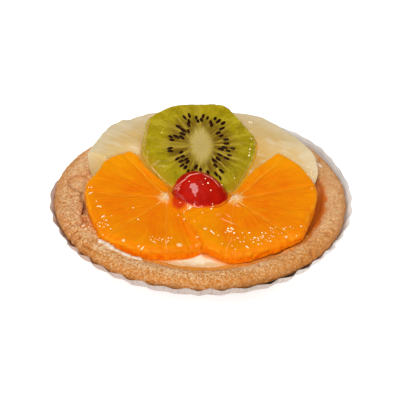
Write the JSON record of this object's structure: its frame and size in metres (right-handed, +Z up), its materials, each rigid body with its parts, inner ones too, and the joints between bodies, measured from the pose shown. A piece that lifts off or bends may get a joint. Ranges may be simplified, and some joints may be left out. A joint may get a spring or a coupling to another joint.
{
  "type": "fruit tart",
  "caption": "Round shortcrust tart in a fluted paper case, filled with cream and covered with glazed orange, kiwi and pineapple slices and half a glace cherry.",
  "frame": {"origin": "on the table, under the middle of the paper case", "axes": "+Z up, +Y to the back, where the kiwi and pineapple lie, +X to the right seen from the front"},
  "size_m": [0.1146, 0.1142, 0.0383],
  "materials": {
    "paper": "thin greaseproof paper, matt",
    "shortcrust": "baked, sandy and matt",
    "cream": "smooth, moist",
    "pineapple": "moist fibres under clear glaze",
    "orange": "juicy flesh under clear glaze",
    "kiwi": "juicy flesh under clear glaze",
    "cherry": "candied, under clear glaze"
  },
  "bodies": {
    "root": {"paper_case": "paper", "crust": "shortcrust", "cream": "cream", "pineapple_left": "pineapple", "pineapple_right": "pineapple", "orange_left": "orange", "orange_right": "orange", "kiwi": "kiwi", "cherry": "cherry"}
  },
  "joints": []
}
